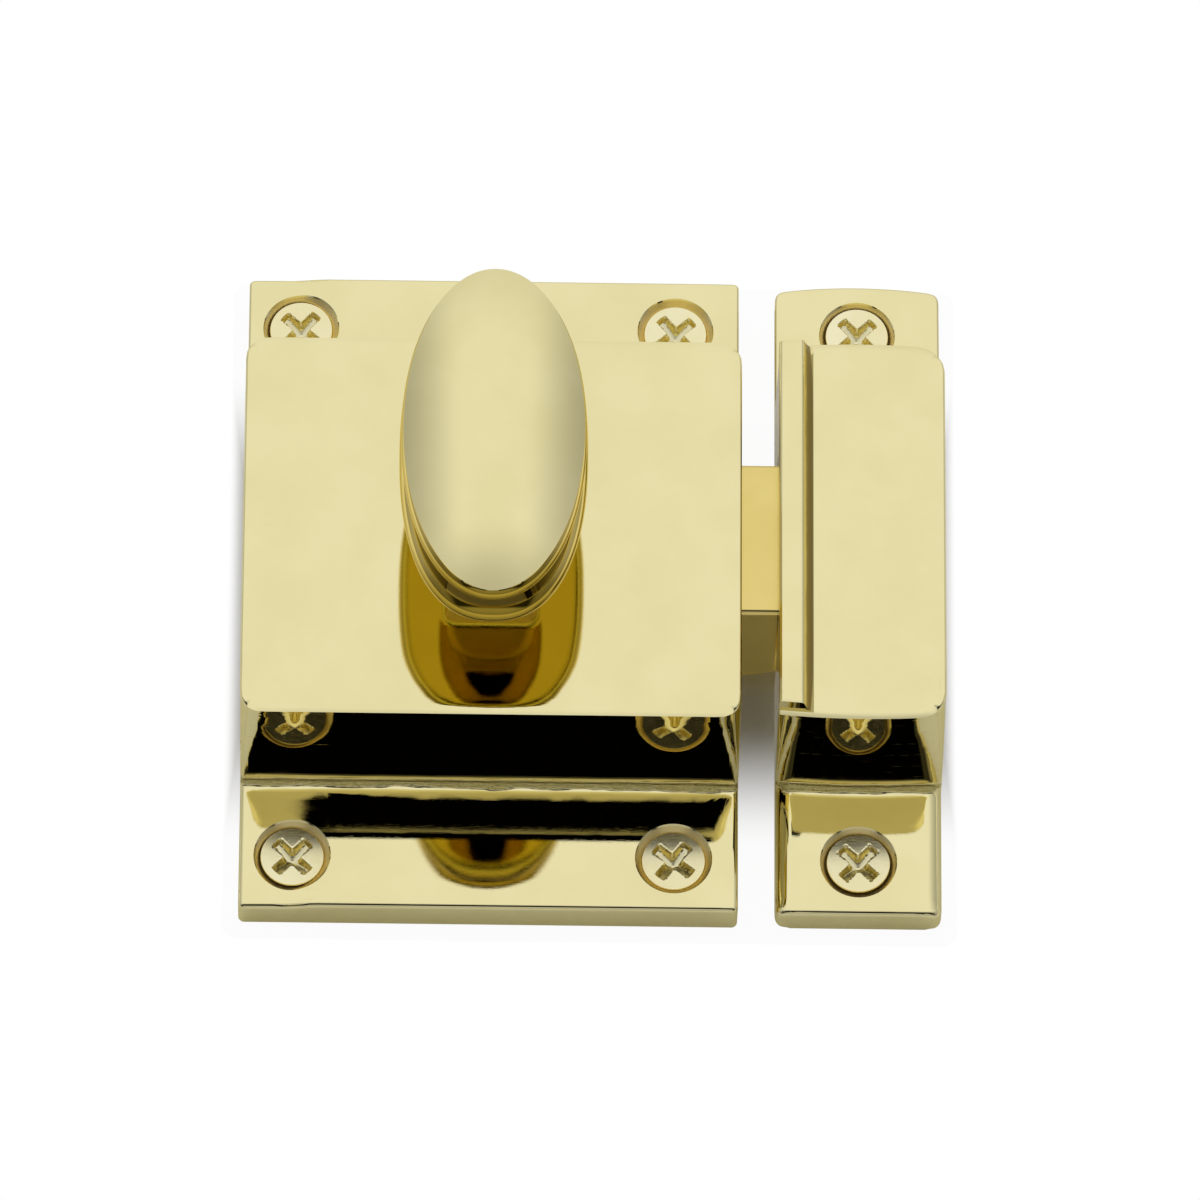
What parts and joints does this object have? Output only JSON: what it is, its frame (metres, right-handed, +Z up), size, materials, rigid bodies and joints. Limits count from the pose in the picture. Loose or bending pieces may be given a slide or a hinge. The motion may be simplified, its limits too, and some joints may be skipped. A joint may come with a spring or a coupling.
{
  "type": "cabinet latch",
  "caption": "Polished brass cabinet latch: a cast case with an oval turn knob that draws a sprung bolt out of a separate cast strike.",
  "frame": {"origin": "on the back plane of the case, on the knob's axis", "axes": "+X towards the strike, +Z up, -Y out of the cabinet front; +Y points into the door"},
  "size_m": [0.0627, 0.0472, 0.0636],
  "materials": {
    "case_brass": "cast and polished",
    "knob_brass": "cast and polished",
    "bolt_brass": "fine ground",
    "screw_brass": "turned and lightly polished",
    "plate_brass": "as cast, rubbed flat",
    "washer_bronze": "stamped",
    "plated_steel": "bright zinc plated",
    "turned_steel": "turned",
    "crank_steel": "stamped and tumbled",
    "spring_steel": "drawn wire"
  },
  "bodies": {
    "fixed": {"case": "case_brass", "back_plate": "plate_brass", "plate_screw_1": "plated_steel", "plate_screw_2": "plated_steel", "plate_screw_3": "plated_steel", "plate_screw_4": "plated_steel", "case_screw_top_left": "screw_brass", "case_screw_top_right": "screw_brass", "case_screw_bottom_left": "screw_brass", "case_screw_bottom_right": "screw_brass", "bolt_spring": "spring_steel", "strike": "case_brass", "strike_screw_top": "screw_brass", "strike_screw_bottom": "screw_brass"},
    "knob_assembly": {"knob": "knob_brass", "spindle": "turned_steel", "thrust_washer": "washer_bronze", "crank": "crank_steel", "crank_pin": "turned_steel", "crank_washer": "plated_steel", "crank_screw": "plated_steel"},
    "bolt": {"bolt": "bolt_brass"}
  },
  "joints": [
    {"name": "knob_turn", "type": "hinge", "parent": "fixed", "child": "knob_assembly", "pos_m": [0, -0.0168, 0], "axis": [0, 1, 0], "range_deg": [0, 90], "stiffness_Nm_per_rad": 0.0132, "springref_deg": -55.81},
    {"name": "bolt_slide", "type": "slide", "parent": "fixed", "child": "bolt", "axis": [-1, 0, 0], "range_m": [0, 0.00806], "deforming": ["bolt_spring"]}
  ],
  "couplings": [
    {"joint": "bolt_slide", "follows": "knob_turn", "m_per_rad": 0.0051318}
  ]
}
